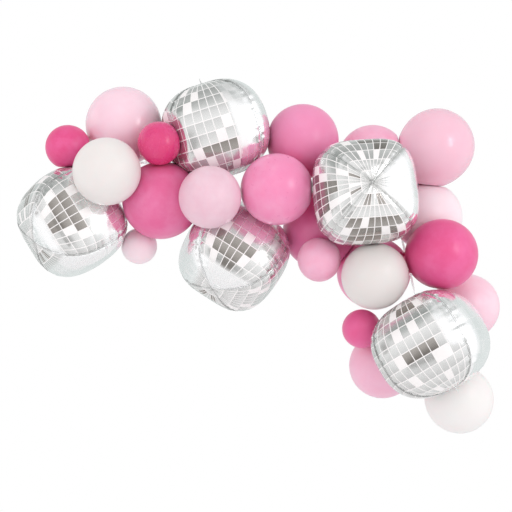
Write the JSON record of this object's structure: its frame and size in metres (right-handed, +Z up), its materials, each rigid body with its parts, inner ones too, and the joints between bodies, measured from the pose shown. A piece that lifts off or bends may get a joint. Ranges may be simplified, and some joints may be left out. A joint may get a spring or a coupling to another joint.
{
  "type": "balloon garland",
  "caption": "Swag of inflated round latex balloons and faceted foil balls tied along a flat punched strip with a tab at each end for hanging against a wall.",
  "frame": {"origin": "back face of the strip's left hanging tab, where it rests on the wall", "axes": "+X along the garland to the right, +Y into the wall, +Z up"},
  "size_m": [1.466, 0.4827, 1.0697],
  "materials": {
    "hot_pink_latex": "satin stretched latex",
    "rose_latex": "satin stretched latex",
    "deep_pink_latex": "satin stretched latex",
    "bubblegum_latex": "satin stretched latex",
    "soft_pink_latex": "satin stretched latex",
    "light_pink_latex": "satin stretched latex",
    "pale_pink_latex": "satin stretched latex",
    "blush_latex": "satin stretched latex",
    "white_latex": "satin stretched latex",
    "silver_foil": "mirror-bright metallised film with a printed grid",
    "clear_strip": "clear gloss"
  },
  "bodies": {
    "root": {"garland_strip": "clear_strip", "latex_small_hot_pink_left": "hot_pink_latex", "latex_light_pink_top_left": "light_pink_latex", "latex_white_left": "white_latex", "latex_small_hot_pink_upper": "hot_pink_latex", "latex_rose_left": "rose_latex", "latex_pale_pink_front": "pale_pink_latex", "latex_bubblegum_front": "bubblegum_latex", "latex_small_blush_below": "blush_latex", "latex_rose_top": "rose_latex", "latex_deep_pink_centre": "deep_pink_latex", "latex_pink_behind_disco": "soft_pink_latex", "latex_light_pink_top_right": "light_pink_latex", "latex_blush_right": "blush_latex", "latex_hot_pink_right": "hot_pink_latex", "latex_light_pink_right": "light_pink_latex", "latex_white_centre": "white_latex", "latex_bubblegum_behind_white": "bubblegum_latex", "latex_small_pink_centre": "soft_pink_latex", "latex_small_hot_pink_lower": "hot_pink_latex", "latex_pink_lower": "soft_pink_latex", "latex_white_bottom": "white_latex", "foil_disco_left": "silver_foil", "foil_disco_top": "silver_foil", "foil_disco_lower": "silver_foil", "foil_disco_front": "silver_foil", "foil_disco_right": "silver_foil"}
  },
  "joints": []
}
